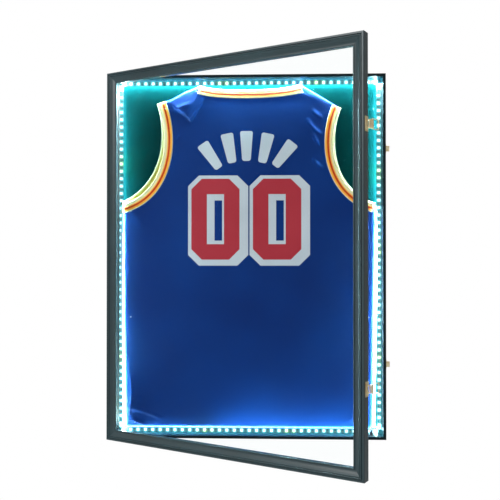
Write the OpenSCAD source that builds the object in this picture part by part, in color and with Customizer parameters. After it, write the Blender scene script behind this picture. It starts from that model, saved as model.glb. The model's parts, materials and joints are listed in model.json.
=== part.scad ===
// Wall-hung jersey display frame: a shallow lit case with a glazed door hinged on its left.
// +X points right, +Y into the wall and +Z up. The origin is on the wall plane, midway
// between the round entries of the two keyhole hangers.

/* [Case] */
// Outer width of the case
case_w = 600; // [600:10:700]
// Outer height of the case
case_h = 800; // [800:10:900]
// Depth from the wall to the front edges of the boards
case_depth = 50; // [48:1:70]
// Thickness of the four boards
board_t = 6; // [6:0.5:8]
// Height of the case's top face above the hanger entries
hang_drop = 36; // [36:1:45]
// Depth of the recess behind the back board
rear_recess = 8; // [8:0.5:12]
// Thickness of the back board
back_t = 3; // [2.5:0.5:4]
// Thickness of the panel that the jersey is pinned to
panel_t = 4; // [3:0.5:5]
// Thickness of the felt
felt_t = 1; // [0.5:0.25:1.5]

/* [Door] */
// Angle that the door stands open at
door_open = 28.9; // [0:0.1:170]
// Thickness of the door moulding
door_t = 20; // [19:0.5:24]
// Width of the moulding's face
stile_w = 23; // [22:0.5:28]
// Thickness of the clear panel
glazing_t = 2; // [1.5:0.5:3]
// Gap between the closed door and the case
door_gap = 0.4; // [0.4:0.1:0.8]

/* [Hardware] */
// Distance from the top and bottom of the case to the middle of each hinge
hinge_inset = 120; // [60:5:200]
// Height of a hinge
hinge_h = 50; // [40:5:60]
// Distance of each latch from the middle of the case's height
latch_offset = 236; // [150:1:300]
// Angle that the latch levers stand open at
lever_open = 130; // [0:1:150]
// Distance between the two hangers
hanger_spacing = 400; // [300:10:480]

/* [Lighting] */
// Distance from one light to the next
led_pitch = 16.667; // [16.667:0.001:33.333]
// Width of the light tape
tape_w = 10; // [8:1:12]

/* [Hidden] */
$fn = 40;
eps = 0.01;

// Levels of the case
half_w = case_w / 2;
top_z = hang_drop;
bottom_z = hang_drop - case_h;
middle_z = (top_z + bottom_z) / 2;
rabbet = board_t / 2;
shoulder_y = -(rear_recess + back_t);
panel_y = shoulder_y - panel_t;
felt_y = panel_y - felt_t;
inner_half_w = half_w - board_t;
inner_top_z = top_z - board_t;
inner_bottom_z = bottom_z + board_t;
inner_w = case_w - 2 * board_t;
inner_h = case_h - 2 * board_t;

// Rails and hangers behind the back board
hanging_rail_low_z = -20;
lower_rail_h = 40;
hanger_t = 1.5;
hanger_r = 9;
hanger_low_z = -9;
hanger_high_z = 17;
entry_r = 4.5;
slot_r = 2.3;
slot_rise = 11;
head_pocket_r = 5.5;
head_pocket_depth = 5.5;
hanger_screw_z = [-13, 21];
hanger_head_r = 2.8;
hanger_screw_r = 1.4;
hanger_fit = 0.2;

// Tacks that hold the back board on its shoulder
tack_pitch = 100;
tack_count = 7;
tack_head_r = 1.3;
tack_head_t = 0.6;
tack_r = 0.5;
tack_length = 12;

// Lights
tape_t = 0.4;
chip_size = 5;
chip_t = 1.6;
jumper_w = 6;
jumper_t = 0.8;
jumper_reach = 14;

// Socket of the light tape's supply, and the lead inside the case
inlet_x = half_w - 30;
inlet_y = -(case_depth + abs(felt_y)) / 2;
inlet_hole_r = 4.1;
inlet_barrel_r = 4;
inlet_barrel_h = 9;
inlet_flange_r = 5.5;
inlet_flange_t = 2;
inlet_bore_r = 2.75;
inlet_bore_h = 9.5;
inlet_pin_r = 1.05;
nut_r = 6.3;
nut_t = 2.5;
lead_r = 1.3;
lead_bend_r = 1.35;
lead_start_z = inner_bottom_z + inlet_barrel_h;
lead_path = [
    [inlet_x, inlet_y, lead_start_z],
    [inlet_x, inlet_y, lead_start_z + 6],
    [inlet_x + 4, inlet_y + 3, lead_start_z + 9],
    [half_w - 22, felt_y - 5, lead_start_z + 8],
    [half_w - 11, felt_y - 2.6, lead_start_z + 3.5],
    [half_w - 11, felt_y - 2.6, inner_bottom_z + 5]
];

// Jersey, laid flat on the felt and pinned
jersey_t = 5;
felt_clearance = 0.2;
neck_dip_z = 4;
neck_x = 112;
neck_z = 18;
shoulder_x = 206;
shoulder_z = -29;
underarm_x = 281;
underarm_z = -246;
waist_x = 276;
waist_z = -500;
hem_x = 268;
hem_z = inner_bottom_z + 13;
pin_head_r = 1.4;
pin_head_t = 0.8;
pin_r = 0.35;
pin_depth = 3;
pin_places = [[118, 6], [188, -32], [266, -262], [266, -500], [256, hem_z + 9]];

// Hinges: the pivot stands just outside the left faces of the door and the case
pivot_out = 2;
pivot_x = -half_w - pivot_out;
pivot_y = -case_depth - door_gap / 2;
knuckle_r = 1.8;
hinge_pin_r = 0.9;
running_gap = 0.05;
leaf_t = 1;
leaf_w = 13;
knuckle_gap = 0.3;
knuckle_clear = 2.3;
tab_start = 0.3;
hinge_screw_r = 1.4;
hinge_head_r = 2.6;
hinge_screw_length = 14;
hole_past = 0.5;
hinge_screw_z = [-0.34, 0, 0.34];
hinge_screw_y = 8.6;
hinge_zs = [top_z - hinge_inset, bottom_z + hinge_inset];

// Door moulding: its profile runs from the outer edge to the sight edge
door_back_y = -case_depth - door_gap;
corner_r = 1.2;
outer_flat = 3.6;
groove_r = 0.9;
bead_r = 1.1;
inner_groove_r = 0.8;
bead_drop = 1.1;
cove_drop = 4.9;
lip_r = 1.6;
rabbet_w = 6;
rabbet_depth = 9;
rabbet_u = stile_w - rabbet_w;
glazing_fit = 0.5;
strip_w = 5;
strip_t = 4.5;
nail_leg = 7;
nail_t = 0.6;
nail_depth = 7;
nail_inset = 9;

// Latches, in a frame with its origin on the door's free edge at the door's back plane:
// x points out of the edge, y towards the wall and z up
latch_zs = [middle_z + latch_offset, middle_z - latch_offset];
base_h = 27;
base_front = -14;
base_rear = -1.5;
base_t = 1;
ear_z = 5.5;
ear_t = 1;
ear_r = 2;
lever_pivot = [4.5, -5];
lever_pin_r = 1;
latch_screw_z = 11;
latch_screw_r = 1.1;
latch_head_r = 2;
latch_screw_length = 9;
cheek_z = 6.8;
cheek_t = 1;
cheek_r = 2.1;
loop_eye_r = 1.6;
loop_hinge = [-1.5, -4.8];
web_x = 2.2;
web_t = 0.8;
web_near = -2.4;
web_far = -8.5;
curl_r = 0.72;
wire_r = 0.8;
loop_leg_z = 9.1;
loop_seat = [3, 9.2];
loop_stub_z = cheek_z + 0.1;
loop_closed = lever_pivot + loop_hinge;
loop_length = norm(loop_seat - loop_closed);
loop_lean = 13.5;

// Catches on the case's right face
catch_h = 20;
catch_front = 4;
catch_rear = 16;
catch_t = 1;
hook_h = 12;
hook_rise = 8.6;
hook_front = 6.9;
hook_t = 1.4;
hook_roll_r = 0.9;
catch_screw_z = 6.5;
catch_screw_y = 13;

// ---- Helpers ----

// Points along an arc from one angle to another
function arc(c, r, a0, a1, n) =
    [for (i = [0 : n]) c + r * [cos(a0 + (a1 - a0) * i / n), sin(a0 + (a1 - a0) * i / n)]];

// Points along a curve with two control points
function curve(a, b, c, d, n) =
    [for (i = [0 : n]) let (t = i / n, s = 1 - t)
        s * s * s * a + 3 * s * s * t * b + 3 * s * t * t * c + t * t * t * d];

// The points of a half outline, mirrored to the other side of x = 0
function mirrored(points) =
    [for (i = [len(points) - 1 : -1 : 0]) [-points[i][0], points[i][1]]];

// A flat plate with an outline in x and z, from y = back to y = front (front < back)
module plate_xz(back, front) {
    translate([0, back, 0]) rotate([90, 0, 0]) linear_extrude(back - front) children();
}

// A box given by two opposite corners
module span(low, high) {
    translate(low) cube(high - low);
}

// A straight round rod from p to q
module rod(p, q, r) {
    d = q - p;
    translate(p)
        rotate([0, acos(d[2] / norm(d)), atan2(d[1], d[0])])
            cylinder(r = r, h = norm(d), $fn = 20);
}

// A mitred bar of thickness t along x, its outer face on z = 0
module mitred(length, t, back, front) {
    plate_xz(back, front)
        polygon([[-length / 2, 0], [length / 2, 0], [length / 2 - t, t], [-length / 2 + t, t]]);
}

// Puts a bar that was made along the bottom edge on one of the frame's four sides
module on_bottom() { translate([0, 0, bottom_z]) children(); }
module on_top() { translate([0, 0, top_z]) rotate([0, 180, 0]) children(); }
module on_left() { translate([-half_w, 0, middle_z]) rotate([0, 90, 0]) children(); }
module on_right() { translate([half_w, 0, middle_z]) rotate([0, -90, 0]) children(); }

// A countersunk wood screw along -z, its head flush with z = 0
module screw(head_r, shank_r, length) {
    head_h = head_r - shank_r;
    cross_l = head_r * 1.2;
    cross_w = head_r * 0.22;
    cross_depth = head_h * 0.7;
    difference() {
        union() {
            translate([0, 0, -head_h]) cylinder(r1 = shank_r, r2 = head_r, h = head_h, $fn = 24);
            translate([0, 0, -length]) cylinder(r = shank_r, h = length - head_h + eps, $fn = 20);
        }
        for (a = [0, 90]) rotate(a)
            translate([-cross_l / 2, -cross_w / 2, -cross_depth]) cube([cross_l, cross_w, head_h]);
    }
}

// The hole that such a screw leaves in a plate of thickness t
module screw_hole(head_r, shank_r, t) {
    head_h = head_r - shank_r;
    translate([0, 0, -t - hole_past]) cylinder(r = shank_r + running_gap, h = t + hole_past + eps, $fn = 24);
    translate([0, 0, -head_h])
        cylinder(r1 = shank_r + running_gap, r2 = head_r + running_gap, h = head_h, $fn = 24);
    translate([0, 0, -eps]) cylinder(r = head_r + running_gap, h = 1, $fn = 24);
}

// Turns something made for the closed door to where the door stands
module door_place() {
    translate([pivot_x, pivot_y, 0]) rotate([0, 0, -door_open])
        translate([-pivot_x, -pivot_y, 0]) children();
}

// Puts something made in the latch's frame on the closed door's free edge
module latch_place(z) {
    translate([half_w, door_back_y, z]) children();
}

// ---- Case ----

module case_board(length) {
    color([0.09, 0.1, 0.11]) {
        mitred(length, board_t, shoulder_y, -case_depth);
        mitred(length, rabbet, 0, shoulder_y);
    }
}

module case_top_board() { on_top() case_board(case_w); }

module case_bottom_board() {
    difference() {
        on_bottom() case_board(case_w);
        translate([inlet_x, inlet_y, bottom_z - eps])
            cylinder(r = inlet_hole_r, h = board_t + 2 * eps);
    }
}

module case_left_board() { on_left() case_board(case_h); }

module case_right_board() { on_right() case_board(case_h); }

module back_board() {
    color([0.42, 0.33, 0.24])
        span([-half_w + rabbet, shoulder_y, bottom_z + rabbet],
             [half_w - rabbet, -rear_recess, top_z - rabbet]);
}

module back_board_tacks() {
    color([0.6, 0.6, 0.62])
        for (side = [-1, 1], i = [0 : tack_count - 1])
            translate([side * (half_w - board_t * 0.75), -rear_recess,
                       middle_z + (i - (tack_count - 1) / 2) * tack_pitch]) rotate([-90, 0, 0]) {
                cylinder(r = tack_head_r, h = tack_head_t, $fn = 20);
                translate([0, 0, eps - tack_length]) cylinder(r = tack_r, h = tack_length, $fn = 16);
            }
}

module backing_panel() {
    fit = 0.5;
    color([0.86, 0.86, 0.84])
        span([-inner_half_w + fit, panel_y, inner_bottom_z + fit],
             [inner_half_w - fit, shoulder_y, inner_top_z - fit]);
}

module felt_liner() {
    fit = 0.2;
    color([0.03, 0.05, 0.06])
        span([-inner_half_w + fit, felt_y, inner_bottom_z + fit],
             [inner_half_w - fit, panel_y, inner_top_z - fit]);
}

// The outline of a keyhole hanger, grown by fit
module hanger_body(fit, t) {
    r = hanger_r + fit;
    for (z = [hanger_low_z, hanger_high_z])
        translate([0, 0, z]) rotate([90, 0, 0]) cylinder(r = r, h = t);
    span([-r, -t, hanger_low_z], [r, 0, hanger_high_z]);
}

// A keyhole: a round entry with a slot above it, cut to depth t
module keyhole(round_r, narrow_r, t) {
    rotate([90, 0, 0]) cylinder(r = round_r, h = t);
    translate([0, 0, slot_rise]) rotate([90, 0, 0]) cylinder(r = narrow_r, h = t);
    span([-narrow_r, -t, 0], [narrow_r, 0, slot_rise]);
}

module hanging_rail() {
    color([0.62, 0.5, 0.36]) difference() {
        span([-half_w + rabbet, -rear_recess, hanging_rail_low_z],
             [half_w - rabbet, 0, top_z - rabbet]);
        for (side = [-1, 1]) translate([side * hanger_spacing / 2, eps, 0]) {
            hanger_body(hanger_fit, hanger_t + eps);
            keyhole(head_pocket_r, head_pocket_r, hanger_t + head_pocket_depth + eps);
        }
    }
}

module lower_rail() {
    color([0.62, 0.5, 0.36])
        span([-half_w + rabbet, -rear_recess, bottom_z + rabbet],
             [half_w - rabbet, 0, bottom_z + rabbet + lower_rail_h]);
}

module keyhole_hanger(x) {
    color([0.75, 0.75, 0.76]) translate([x, 0, 0]) difference() {
        hanger_body(0, hanger_t);
        translate([0, eps, 0]) keyhole(entry_r, slot_r, hanger_t + 2 * eps);
        for (z = hanger_screw_z) translate([0, 0, z]) rotate([-90, 0, 0])
            screw_hole(hanger_head_r, hanger_screw_r, hanger_t);
    }
}

module keyhole_hanger_left() { keyhole_hanger(-hanger_spacing / 2); }

module keyhole_hanger_right() { keyhole_hanger(hanger_spacing / 2); }

module hanger_screws() {
    color([0.8, 0.8, 0.8])
        for (x = [-hanger_spacing / 2, hanger_spacing / 2], z = hanger_screw_z)
            translate([x, 0, z]) rotate([-90, 0, 0])
                screw(hanger_head_r, hanger_screw_r, rear_recess - 1);
}

// ---- Lights ----

tape_long = inner_h - 2 * tape_w;

// A tape along x whose outer edge lies on z = 0
module led_tape(length) {
    color([0.93, 0.94, 0.92])
        span([-length / 2, felt_y - tape_t, 0], [length / 2, felt_y, tape_w]);
}

module led_chips(length) {
    count = floor(length / led_pitch);
    color([0.75, 0.98, 1])
        for (i = [0 : count - 1])
            translate([(i - (count - 1) / 2) * led_pitch - chip_size / 2,
                       felt_y - tape_t - chip_t, (tape_w - chip_size) / 2])
                cube([chip_size, chip_t, chip_size]);
}

module inside_top() { translate([0, 0, -board_t]) on_top() children(); }
module inside_bottom() { translate([0, 0, board_t]) on_bottom() children(); }
module inside_left() { translate([board_t, 0, 0]) on_left() children(); }
module inside_right() { translate([-board_t, 0, 0]) on_right() children(); }

module led_tape_top() { inside_top() led_tape(inner_w); }
module led_tape_bottom() { inside_bottom() led_tape(inner_w); }
module led_tape_left() { inside_left() led_tape(tape_long); }
module led_tape_right() { inside_right() led_tape(tape_long); }
module led_chips_top() { inside_top() led_chips(inner_w); }
module led_chips_bottom() { inside_bottom() led_chips(inner_w); }
module led_chips_left() { inside_left() led_chips(tape_long); }
module led_chips_right() { inside_right() led_chips(tape_long); }

// A short ribbon that joins two tapes round a corner, made for the top left corner
module corner_jumper() {
    near = 0.4;
    far = near + jumper_w / 4;
    plate_xz(felt_y - tape_t, felt_y - tape_t - jumper_t)
        polygon([
            [near, -near], [jumper_w, -near], [jumper_w, -far],
            [far, -far], [far, -jumper_reach], [near, -jumper_reach]
        ]);
}

module led_corner_jumpers() {
    color([0.2, 0.2, 0.22]) {
        translate([-inner_half_w, 0, inner_top_z]) corner_jumper();
        translate([inner_half_w, 0, inner_top_z]) mirror([1, 0, 0]) corner_jumper();
        translate([-inner_half_w, 0, inner_bottom_z]) mirror([0, 0, 1]) corner_jumper();
    }
}

module led_lead() {
    color([0.12, 0.12, 0.13]) {
        for (i = [0 : len(lead_path) - 2]) rod(lead_path[i], lead_path[i + 1], lead_r);
        for (i = [1 : len(lead_path) - 2])
            translate(lead_path[i]) sphere(r = lead_bend_r, $fn = 20);
    }
}

module dc_inlet_housing() {
    color([0.08, 0.08, 0.08]) translate([inlet_x, inlet_y, bottom_z]) difference() {
        union() {
            translate([0, 0, -inlet_flange_t]) cylinder(r = inlet_flange_r, h = inlet_flange_t);
            translate([0, 0, -eps])
                cylinder(r = inlet_barrel_r, h = board_t + inlet_barrel_h + eps);
        }
        translate([0, 0, -inlet_flange_t - eps]) cylinder(r = inlet_bore_r, h = inlet_bore_h + eps);
        translate([0, 0, 0]) cylinder(r = inlet_pin_r, h = board_t + inlet_barrel_h - 2);
    }
}

module dc_inlet_pin() {
    color([0.85, 0.85, 0.85]) translate([inlet_x, inlet_y, bottom_z - 1])
        cylinder(r = inlet_pin_r, h = board_t + inlet_barrel_h - 1);
}

module dc_inlet_nut() {
    color([0.7, 0.7, 0.7]) translate([inlet_x, inlet_y, inner_bottom_z]) difference() {
        cylinder(r = nut_r, h = nut_t, $fn = 6);
        translate([0, 0, -eps]) cylinder(r = inlet_barrel_r + running_gap, h = nut_t + 2 * eps);
    }
}

// ---- Jersey ----

jersey_half = concat(
    curve([0, neck_dip_z], [neck_x * 0.5, neck_dip_z], [neck_x * 0.8, neck_dip_z + 6],
          [neck_x, neck_z], 8),
    curve([shoulder_x, shoulder_z], [180, -100], [200, -215], [underarm_x, underarm_z], 14),
    [[waist_x, waist_z], [hem_x, hem_z + 6], [hem_x - 6, hem_z]]
);

module jersey() {
    color([0.09, 0.16, 0.5])
        plate_xz(felt_y - felt_clearance, felt_y - felt_clearance - jersey_t)
            polygon(concat(jersey_half, mirrored(jersey_half)));
}

module jersey_pins() {
    front = felt_y - felt_clearance - jersey_t;
    color([0.8, 0.8, 0.82])
        for (side = [-1, 1], p = pin_places) translate([side * p[0], front, p[1]]) {
            rotate([90, 0, 0]) cylinder(r = pin_head_r, h = pin_head_t, $fn = 20);
            rotate([-90, 0, 0])
                translate([0, 0, -eps])
                    cylinder(r = pin_r, h = jersey_t + felt_clearance + felt_t + pin_depth, $fn = 16);
        }
}

// ---- Hinges ----

// One leaf, made for the case side; its knuckles are the outer two or the middle one
module hinge_leaf(middle) {
    third = hinge_h / 3;
    spans = middle
        ? [[-third / 2 + knuckle_gap, third / 2 - knuckle_gap]]
        : [[-hinge_h / 2, -third / 2], [third / 2, hinge_h / 2]];
    bore_r = hinge_pin_r + (middle ? running_gap : 0);
    color([0.1, 0.1, 0.1]) difference() {
        union() {
            span([pivot_out - leaf_t, knuckle_clear, -hinge_h / 2],
                 [pivot_out, knuckle_clear + leaf_w, hinge_h / 2]);
            for (s = spans) {
                translate([0, 0, s[0]]) cylinder(r = knuckle_r, h = s[1] - s[0]);
                span([pivot_out - leaf_t, tab_start, s[0]], [pivot_out, knuckle_clear + eps, s[1]]);
            }
        }
        translate([0, 0, -hinge_h]) cylinder(r = bore_r, h = 2 * hinge_h);
        for (k = hinge_screw_z) translate([pivot_out - leaf_t, hinge_screw_y, k * hinge_h])
            rotate([0, -90, 0]) screw_hole(hinge_head_r, hinge_screw_r, leaf_t);
    }
}

module at_hinge(z) { translate([pivot_x, pivot_y, z]) children(); }

module hinge_case_leaf(z) { at_hinge(z) hinge_leaf(false); }
module hinge_door_leaf(z) { door_place() at_hinge(z) mirror([0, 1, 0]) hinge_leaf(true); }
module hinge_pin(z) {
    color([0.15, 0.15, 0.15]) at_hinge(z)
        translate([0, 0, -hinge_h / 2]) cylinder(r = hinge_pin_r, h = hinge_h);
}

module upper_hinge_case_leaf() { hinge_case_leaf(hinge_zs[0]); }
module lower_hinge_case_leaf() { hinge_case_leaf(hinge_zs[1]); }
module upper_hinge_door_leaf() { hinge_door_leaf(hinge_zs[0]); }
module lower_hinge_door_leaf() { hinge_door_leaf(hinge_zs[1]); }
module upper_hinge_pin() { hinge_pin(hinge_zs[0]); }
module lower_hinge_pin() { hinge_pin(hinge_zs[1]); }

module hinge_screws(length) {
    color([0.15, 0.15, 0.15])
        for (k = hinge_screw_z) translate([pivot_out - leaf_t, hinge_screw_y, k * hinge_h])
            rotate([0, -90, 0]) screw(hinge_head_r, hinge_screw_r, length);
}

module hinge_case_screws() {
    for (z = hinge_zs) at_hinge(z) hinge_screws(board_t);
}

module hinge_door_screws() {
    door_place() for (z = hinge_zs) at_hinge(z) mirror([0, 1, 0]) hinge_screws(hinge_screw_length);
}

// ---- Door ----

function moulding_profile() = let (
        t = door_t,
        bead_u = outer_flat + 2 * groove_r + bead_r,
        inner_groove_u = bead_u + bead_r + inner_groove_r,
        cove_u = inner_groove_u + inner_groove_r,
        cove_w = stile_w - 2 * lip_r - cove_u,
        lip_level = t - bead_drop - cove_drop
    ) concat(
        [[0, 0]],
        arc([corner_r, t - corner_r], corner_r, 180, 90, 4),
        [[outer_flat, t]],
        arc([outer_flat + groove_r, t - bead_drop], groove_r, 180, 360, 6),
        arc([bead_u, t - bead_drop], bead_r, 180, 0, 8),
        arc([inner_groove_u, t - bead_drop], inner_groove_r, 180, 360, 6),
        [for (i = [1 : 9]) [cove_u + cove_w * i / 10, t - bead_drop - cove_drop * sin(9 * i)]],
        arc([stile_w - lip_r, lip_level], lip_r, 180, 0, 8),
        [[stile_w, rabbet_depth], [rabbet_u, rabbet_depth], [rabbet_u, 0]]
    );

// A length of moulding along x, mitred at both ends, its outer face on z = 0
module moulding(length) {
    color([0.13, 0.15, 0.17])
        translate([0, door_back_y, 0]) intersection() {
            translate([-length / 2, 0, 0]) rotate([90, 0, 90]) linear_extrude(length)
                polygon([for (p = moulding_profile()) [-p[1], p[0]]]);
            mitred(length, stile_w, 1, -door_t - 1);
        }
}

module door_top_rail() { door_place() on_top() moulding(case_w); }
module door_bottom_rail() { door_place() on_bottom() moulding(case_w); }
module door_hinge_stile() { door_place() on_left() moulding(case_h); }
module door_latch_stile() { door_place() on_right() moulding(case_h); }

// A V-shaped nail pressed across each mitre from behind
module door_corner_nails() {
    color([0.6, 0.6, 0.62]) door_place()
        for (sx = [-1, 1], top = [0, 1])
            translate([sx * (half_w - nail_inset), door_back_y,
                       top ? top_z - nail_inset : bottom_z + nail_inset])
                rotate([0, top ? (sx > 0 ? 0 : -90) : (sx > 0 ? 90 : 180), 0])
                    plate_xz(0, -nail_depth)
                        polygon([
                            [0, 0], [0, -nail_leg], [-nail_t, -nail_leg], [-nail_t, -nail_t],
                            [-nail_leg, -nail_t], [-nail_leg, 0]
                        ]);
}

module acrylic_panel() {
    x = half_w - rabbet_u - glazing_fit;
    back = door_back_y - rabbet_depth + glazing_t;
    color([0.8, 0.9, 0.95, 0.35]) door_place()
        span([-x, back - glazing_t, bottom_z + rabbet_u + glazing_fit],
             [x, back, top_z - rabbet_u - glazing_fit]);
}

// A strip that holds the clear panel in the rabbet, along x on the bottom edge
module strip_bar(length) {
    back = door_back_y - rabbet_depth + glazing_t + strip_t;
    color([0.1, 0.1, 0.1])
        span([-length / 2, back - strip_t, rabbet_u], [length / 2, back, rabbet_u + strip_w]);
}

long_strip = case_w - 2 * rabbet_u;
side_strip = case_h - 2 * rabbet_u - 2 * strip_w;

module panel_strip_top() { door_place() on_top() strip_bar(long_strip); }
module panel_strip_bottom() { door_place() on_bottom() strip_bar(long_strip); }
module panel_strip_left() { door_place() on_left() strip_bar(side_strip); }
module panel_strip_right() { door_place() on_right() strip_bar(side_strip); }

// ---- Latches ----

module latch_base(z) {
    color([0.78, 0.62, 0.3]) door_place() latch_place(z) difference() {
        union() {
            span([0, base_front, -base_h / 2], [base_t, base_rear, base_h / 2]);
            for (s = [-1, 1]) translate([0, 0, s * (ear_z + ear_t / 2) - ear_t / 2]) {
                translate([lever_pivot[0], lever_pivot[1], 0]) cylinder(r = ear_r, h = ear_t);
                translate([0, lever_pivot[1] - ear_r, 0]) cube([lever_pivot[0], 2 * ear_r, ear_t]);
            }
        }
        translate([lever_pivot[0], lever_pivot[1], -base_h / 2])
            cylinder(r = lever_pin_r, h = base_h);
        for (s = [-1, 1])
            translate([base_t, (base_front + base_rear) / 2, s * latch_screw_z])
                rotate([0, 90, 0]) screw_hole(latch_head_r, latch_screw_r, base_t);
    }
}

module lever_pin(z) {
    reach = cheek_z + cheek_t;
    color([0.8, 0.66, 0.36]) door_place() latch_place(z)
        translate([lever_pivot[0], lever_pivot[1], -reach])
            cylinder(r = lever_pin_r, h = 2 * reach);
}

module latch_screws() {
    color([0.8, 0.66, 0.36]) door_place()
        for (z = latch_zs, s = [-1, 1]) latch_place(z)
            translate([base_t, (base_front + base_rear) / 2, s * latch_screw_z])
                rotate([0, 90, 0])
                    screw(latch_head_r, latch_screw_r, latch_screw_length);
}

// Turns something made for the shut lever, with its pivot at the origin, to where it stands
module lever_place(z) {
    door_place() latch_place(z)
        translate([lever_pivot[0], lever_pivot[1], 0]) rotate([0, 0, lever_open]) children();
}

module latch_lever(z) {
    reach = cheek_z + cheek_t;
    cheek = concat(
        arc([0, 0], cheek_r, 90, -20, 6),
        [[web_x + web_t, web_near], [web_x + web_t, web_far + 2], [0.4, web_far + 2]],
        arc(loop_hinge, loop_eye_r, -60, -180, 6),
        arc([0, 0], cheek_r, 180, 100, 4)
    );
    color([0.85, 0.7, 0.38]) lever_place(z) {
        difference() {
            union() {
                for (s = [-1, 1]) translate([0, 0, s * (cheek_z + cheek_t / 2) - cheek_t / 2])
                    linear_extrude(cheek_t) polygon(cheek);
                span([web_x, web_far, -reach], [web_x + web_t, web_near, reach]);
                translate([web_x + curl_r, web_far, -reach]) cylinder(r = curl_r, h = 2 * reach);
            }
            translate([0, 0, -base_h / 2]) cylinder(r = lever_pin_r + running_gap, h = base_h);
            translate([loop_hinge[0], loop_hinge[1], -base_h / 2])
                cylinder(r = wire_r + running_gap, h = base_h);
        }
    }
}

// The wire loop: it turns in the lever's cheeks and drops over the hook
module latch_loop(z) {
    at = [loop_hinge[0], loop_hinge[1], 0];
    turn = -loop_lean - lever_open;
    color([0.8, 0.68, 0.42]) lever_place(z) translate(at) rotate([0, 0, turn]) {
        for (s = [-1, 1]) {
            translate([0, 0, s > 0 ? loop_stub_z : -loop_leg_z])
                cylinder(r = wire_r, h = loop_leg_z - loop_stub_z);
            translate([0, 0, s * loop_leg_z]) {
                sphere(r = wire_r);
                rotate([-90, 0, 0]) cylinder(r = wire_r, h = loop_length);
                translate([0, loop_length, 0]) sphere(r = wire_r);
            }
        }
        translate([0, loop_length, -loop_leg_z]) cylinder(r = wire_r, h = 2 * loop_leg_z);
    }
}

module catch(z) {
    color([0.78, 0.62, 0.3]) latch_place(z) difference() {
        union() {
            span([0, catch_front, -catch_h / 2], [catch_t, catch_rear, catch_h / 2]);
            span([0, hook_front, -hook_h / 2],
                 [hook_rise - hook_roll_r, hook_front + hook_t, hook_h / 2]);
            translate([hook_rise - hook_roll_r, hook_front + hook_t - hook_roll_r, -hook_h / 2])
                cylinder(r = hook_roll_r, h = hook_h);
        }
        for (s = [-1, 1]) translate([catch_t, catch_screw_y, s * catch_screw_z])
            rotate([0, 90, 0]) screw_hole(latch_head_r, latch_screw_r, catch_t);
    }
}

module upper_catch() { catch(latch_zs[0]); }
module lower_catch() { catch(latch_zs[1]); }

module catch_screws() {
    color([0.8, 0.66, 0.36])
        for (z = latch_zs, s = [-1, 1]) latch_place(z)
            translate([catch_t, catch_screw_y, s * catch_screw_z])
                rotate([0, 90, 0]) screw(latch_head_r, latch_screw_r, board_t);
}

module upper_latch_base() { latch_base(latch_zs[0]); }
module lower_latch_base() { latch_base(latch_zs[1]); }
module upper_lever_pin() { lever_pin(latch_zs[0]); }
module lower_lever_pin() { lever_pin(latch_zs[1]); }
module upper_latch_lever() { latch_lever(latch_zs[0]); }
module lower_latch_lever() { latch_lever(latch_zs[1]); }
module upper_latch_loop() { latch_loop(latch_zs[0]); }
module lower_latch_loop() { latch_loop(latch_zs[1]); }

case_top_board();
case_bottom_board();
case_left_board();
case_right_board();
back_board();
back_board_tacks();
backing_panel();
felt_liner();
hanging_rail();
lower_rail();
keyhole_hanger_left();
keyhole_hanger_right();
hanger_screws();
led_tape_top();
led_tape_right();
led_tape_bottom();
led_tape_left();
led_chips_top();
led_chips_right();
led_chips_bottom();
led_chips_left();
led_corner_jumpers();
led_lead();
dc_inlet_housing();
dc_inlet_pin();
dc_inlet_nut();
jersey();
jersey_pins();
upper_hinge_case_leaf();
lower_hinge_case_leaf();
upper_hinge_pin();
lower_hinge_pin();
hinge_case_screws();
upper_catch();
lower_catch();
catch_screws();
door_top_rail();
door_bottom_rail();
door_hinge_stile();
door_latch_stile();
door_corner_nails();
acrylic_panel();
panel_strip_top();
panel_strip_bottom();
panel_strip_left();
panel_strip_right();
upper_hinge_door_leaf();
lower_hinge_door_leaf();
hinge_door_screws();
upper_latch_base();
lower_latch_base();
latch_screws();
upper_lever_pin();
lower_lever_pin();
upper_latch_lever();
upper_latch_loop();
lower_latch_lever();
lower_latch_loop();
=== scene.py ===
# %% [markdown]
# # A lit display frame for a sports jersey
# The case hangs on a wall, a glazed door opens on its left, and a strip of small lights runs round the
# inside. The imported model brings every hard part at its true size. This script gives those parts their
# finishes, and makes the soft and small things round them: the jersey, the felt, the trims, and the parts
# on the light tape.

# %% Load the frame
import json
import math

import bmesh
import bpy
import numpy as np
from mathutils import Matrix, Vector


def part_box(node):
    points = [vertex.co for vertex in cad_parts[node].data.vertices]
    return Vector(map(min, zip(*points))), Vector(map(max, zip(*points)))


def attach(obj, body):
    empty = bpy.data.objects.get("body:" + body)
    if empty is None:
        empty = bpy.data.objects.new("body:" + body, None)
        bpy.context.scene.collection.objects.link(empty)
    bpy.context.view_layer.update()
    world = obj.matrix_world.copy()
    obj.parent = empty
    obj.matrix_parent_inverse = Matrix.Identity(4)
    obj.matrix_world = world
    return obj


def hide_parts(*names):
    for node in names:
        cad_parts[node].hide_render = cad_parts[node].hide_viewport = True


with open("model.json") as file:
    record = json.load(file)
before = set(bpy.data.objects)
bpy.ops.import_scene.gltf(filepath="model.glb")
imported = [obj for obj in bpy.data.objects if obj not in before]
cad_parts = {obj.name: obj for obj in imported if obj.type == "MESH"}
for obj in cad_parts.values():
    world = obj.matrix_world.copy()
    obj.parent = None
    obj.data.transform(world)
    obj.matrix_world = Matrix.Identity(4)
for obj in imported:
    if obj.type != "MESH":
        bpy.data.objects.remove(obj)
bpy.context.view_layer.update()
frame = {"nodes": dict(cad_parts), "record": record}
nodes = frame["nodes"]

# %% [markdown]
# ## Measures
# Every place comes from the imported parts. The case is 600 mm wide and 800 mm high, and its front edges lie
# in one plane. The felt is the back of the display space. One millimetre is a named unit, so sizes read as
# a maker says them.

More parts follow.
